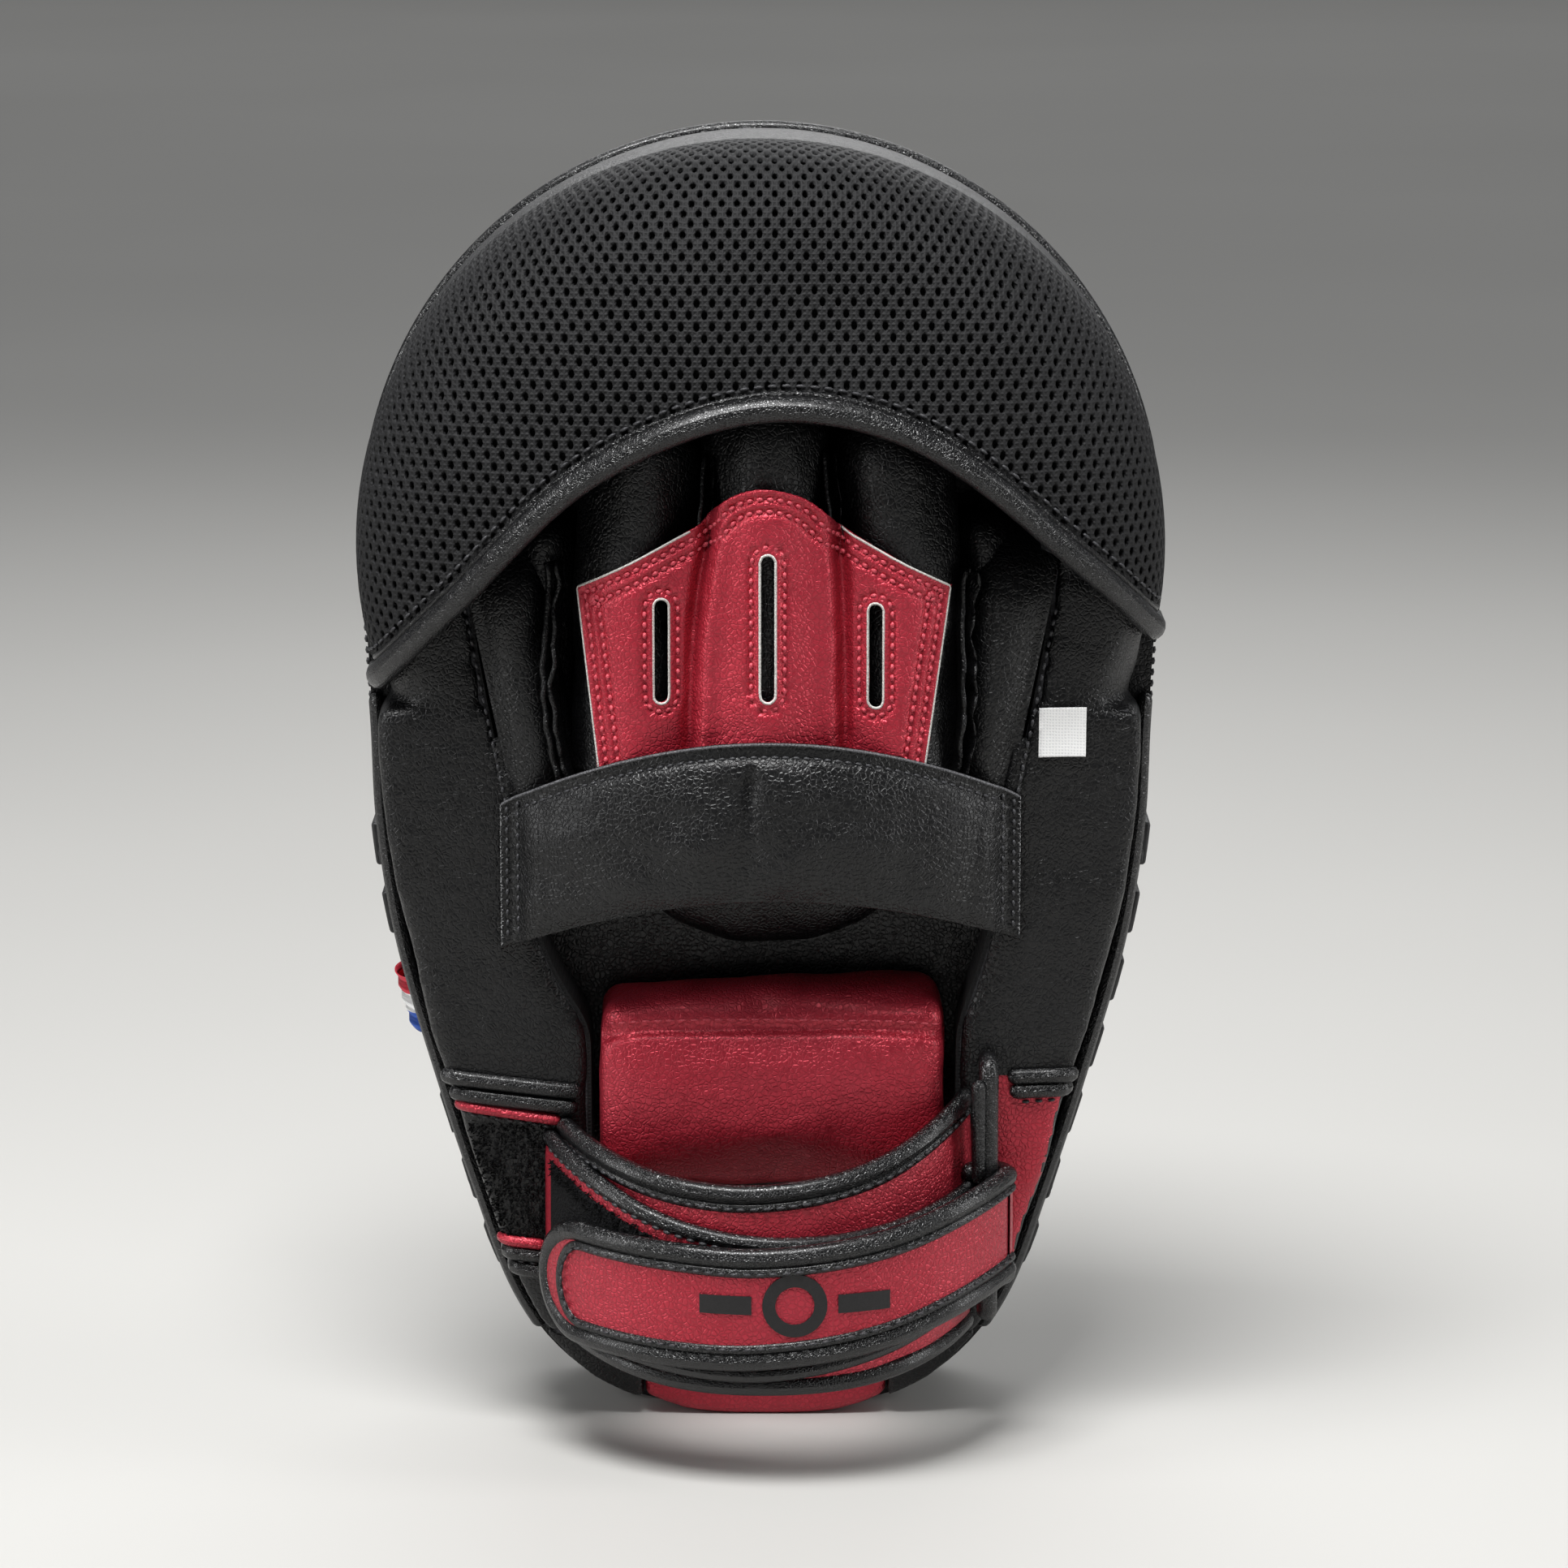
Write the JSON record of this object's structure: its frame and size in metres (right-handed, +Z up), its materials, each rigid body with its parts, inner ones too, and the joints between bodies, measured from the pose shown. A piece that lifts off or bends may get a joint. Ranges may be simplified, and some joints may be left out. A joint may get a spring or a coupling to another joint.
{
  "type": "focus mitt",
  "caption": "Curved boxing focus mitt for the right hand: thick bent pad, mesh finger hood, finger stalls, palm ball, wrist pillow and a hook-and-loop wrist strap that swings open.",
  "frame": {"origin": "on the floor, on the flat foot of the heel, in the middle of the mitt's width", "axes": "+Z up to the fingertips, +Y out of the striking face, -Y out of the hand side, +X to the right as seen from the hand side"},
  "size_m": [0.192, 0.1035, 0.3075],
  "materials": {
    "black_leather": "semi-gloss grained synthetic leather",
    "red_leather": "satin pearlescent synthetic leather",
    "black_mesh": "matte spacer mesh",
    "black_lining": "matte woven lining",
    "binding": "glossy piping",
    "pile": "matte looped pile",
    "hooks": "matte hook tape",
    "foam": "matte closed-cell foam",
    "board": "matte sheet",
    "lugs": "matte raised rubber",
    "print": "matte raised print",
    "label": "matte woven tape",
    "ribbon": "satin woven tape"
  },
  "bodies": {
    "mitt": {"face_cover": "black_leather", "base_foam": "foam", "core_foam": "foam", "impact_foam": "foam", "back_board": "board", "palm_lining": "black_lining", "upper_side_band": "black_leather", "left_side_band": "black_leather", "right_side_band": "black_leather", "heel_side_band": "red_leather", "face_welt": "binding", "rear_welt": "binding", "heel_pad": "red_leather", "heel_corners": "black_leather", "left_side_lugs": "lugs", "right_side_lugs": "lugs", "side_ribbon": "ribbon", "palm_frame_foam": "foam", "finger_frame_foam": "foam", "back_cover": "black_leather", "left_cuff_panel": "black_leather", "right_cuff_panel": "red_leather", "well_lining": "black_lining", "palm_ball": "black_leather", "wrist_pillow": "red_leather", "cuff_piping": "binding", "cuff_red_piping": "red_leather", "left_loop_patch": "pile", "glove_seam_welts": "black_leather", "care_label": "label", "hood_mesh": "black_mesh", "hood_lining": "black_lining", "hood_binding": "binding", "thumb_stall": "black_leather", "index_stall": "black_leather", "middle_stall": "black_leather", "ring_stall": "black_leather", "little_stall": "black_leather", "glove_side_left": "black_leather", "glove_side_right": "black_leather", "vent_patch": "red_leather", "seam_flanges": "black_leather", "knuckle_band_padding": "foam", "knuckle_band": "black_leather", "wrist_guard": "red_leather", "wrist_guard_piping": "binding", "strap_inner_run": "red_leather", "strap_inner_piping": "binding", "strap_loop_pile": "pile", "strap_fold": "red_leather", "keeper_loop": "binding"},
    "strap_flap": {"strap_flap": "red_leather", "strap_flap_piping": "binding", "strap_flap_hooks": "hooks", "strap_emblem": "print"},
    "strap_tip": {"strap_tip": "red_leather", "strap_tip_piping": "binding", "strap_tip_hooks": "hooks"}
  },
  "joints": [
    {"name": "strap_flap_swing", "type": "hinge", "parent": "mitt", "child": "strap_flap", "pos_m": [0.0535, -0.02394, 0.053], "axis": [0, 0, 1], "range_deg": [0, 110], "deforming": ["strap_fold"]},
    {"name": "strap_tip_peel", "type": "hinge", "parent": "strap_flap", "child": "strap_tip", "pos_m": [-0.02087, -0.05535, 0.044], "axis": [0, 0, 1], "range_deg": [0, 60]}
  ]
}
